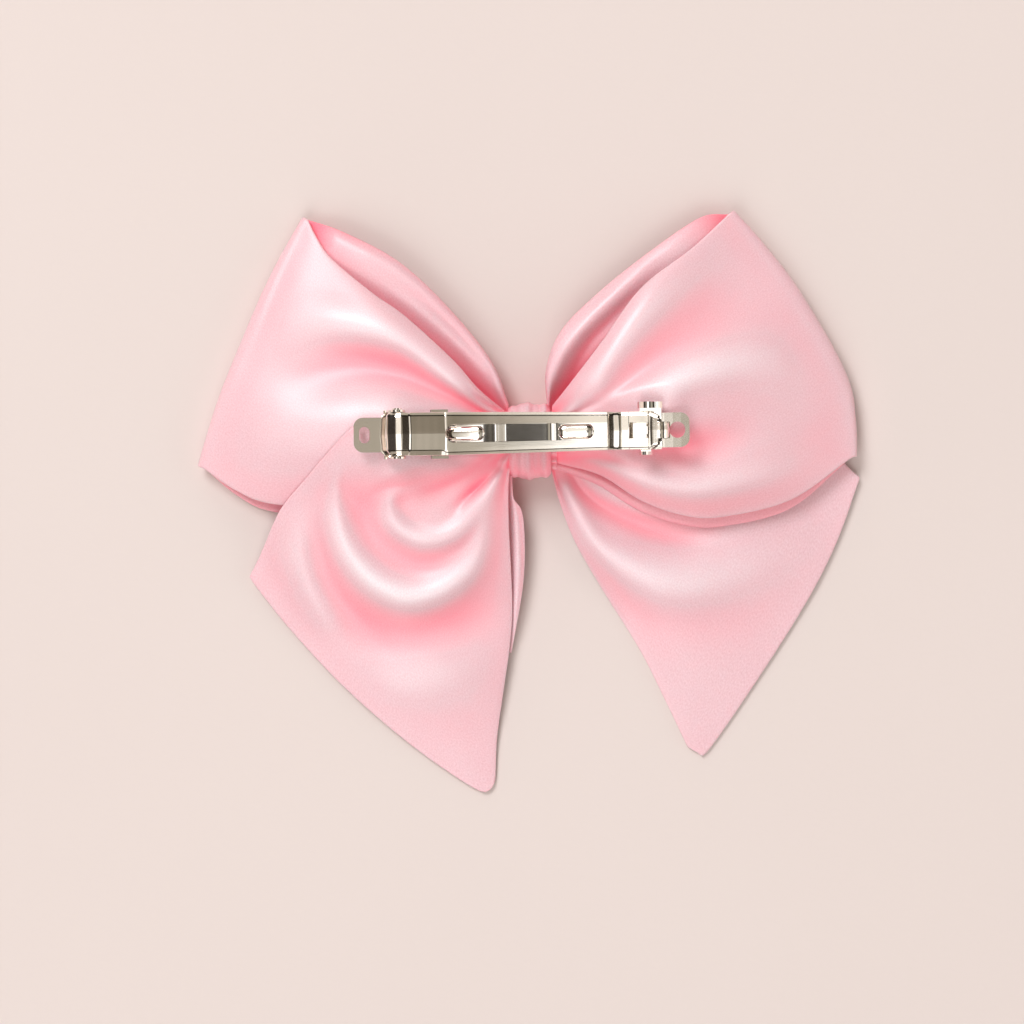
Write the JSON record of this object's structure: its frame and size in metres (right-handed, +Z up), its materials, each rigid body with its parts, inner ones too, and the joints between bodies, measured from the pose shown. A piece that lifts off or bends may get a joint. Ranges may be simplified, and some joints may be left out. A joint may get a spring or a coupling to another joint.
{
  "type": "hair barrette",
  "caption": "Satin ribbon hair bow with long tails and a pinched center wrap, fixed to a curved steel barrette whose hinged arm snaps shut over a spring latch.",
  "frame": {"origin": "middle of the bow's outline on the table, with the bow lying on its front", "axes": "+X along the clip from its hinge to its catch, +Y towards the tips of the loops, +Z up, from the bow's front to the clip"},
  "size_m": [0.16, 0.1405, 0.0256],
  "materials": {
    "nickel_plate": "gloss",
    "nickel_arm": "gloss",
    "spring_steel": "satin",
    "pink_satin": "satin",
    "pink_thread": "matte",
    "hot_glue": "satin"
  },
  "bodies": {
    "root": {"base_plate": "nickel_plate", "hinge_pin": "nickel_plate", "latch_bridge": "spring_steel", "latch_rivet": "nickel_plate", "glue_pad": "hot_glue", "center_wrap": "pink_satin", "gather_thread": "pink_thread", "gathered_middle": "pink_satin", "left_loop": "pink_satin", "right_loop": "pink_satin", "left_tail": "pink_satin", "right_tail": "pink_satin"},
    "arm": {"clasp_arm": "nickel_arm"},
    "leaf": {"leaf_spring": "spring_steel"},
    "prong_upper": {"release_prong_upper": "spring_steel"},
    "prong_lower": {"release_prong_lower": "spring_steel"}
  },
  "joints": [
    {"name": "arm_hinge", "type": "hinge", "parent": "root", "child": "arm", "pos_m": [-0.03106, 0.0163, 0.02273], "axis": [0, -1, 0], "range_deg": [0, 100]},
    {"name": "leaf_flex", "type": "hinge", "parent": "root", "child": "leaf", "pos_m": [-0.02209, 0.0163, 0.01834], "axis": [0, -1, 0], "range_deg": [0, 8]},
    {"name": "latch_upper", "type": "hinge", "parent": "root", "child": "prong_upper", "pos_m": [0.02266, 0.0195, 0.01883], "axis": [0.1639, 0, -0.9865], "range_deg": [-4, 3], "stiffness_Nm_per_rad": 0.02, "springref_deg": -4},
    {"name": "latch_lower", "type": "hinge", "parent": "root", "child": "prong_lower", "pos_m": [0.02266, 0.0131, 0.01883], "axis": [-0.1639, 0, 0.9865], "range_deg": [-4, 3], "stiffness_Nm_per_rad": 0.02, "springref_deg": -4}
  ],
  "couplings": [
    {"joint": "leaf_flex", "follows": "arm_hinge", "ratio": 0.08}
  ]
}
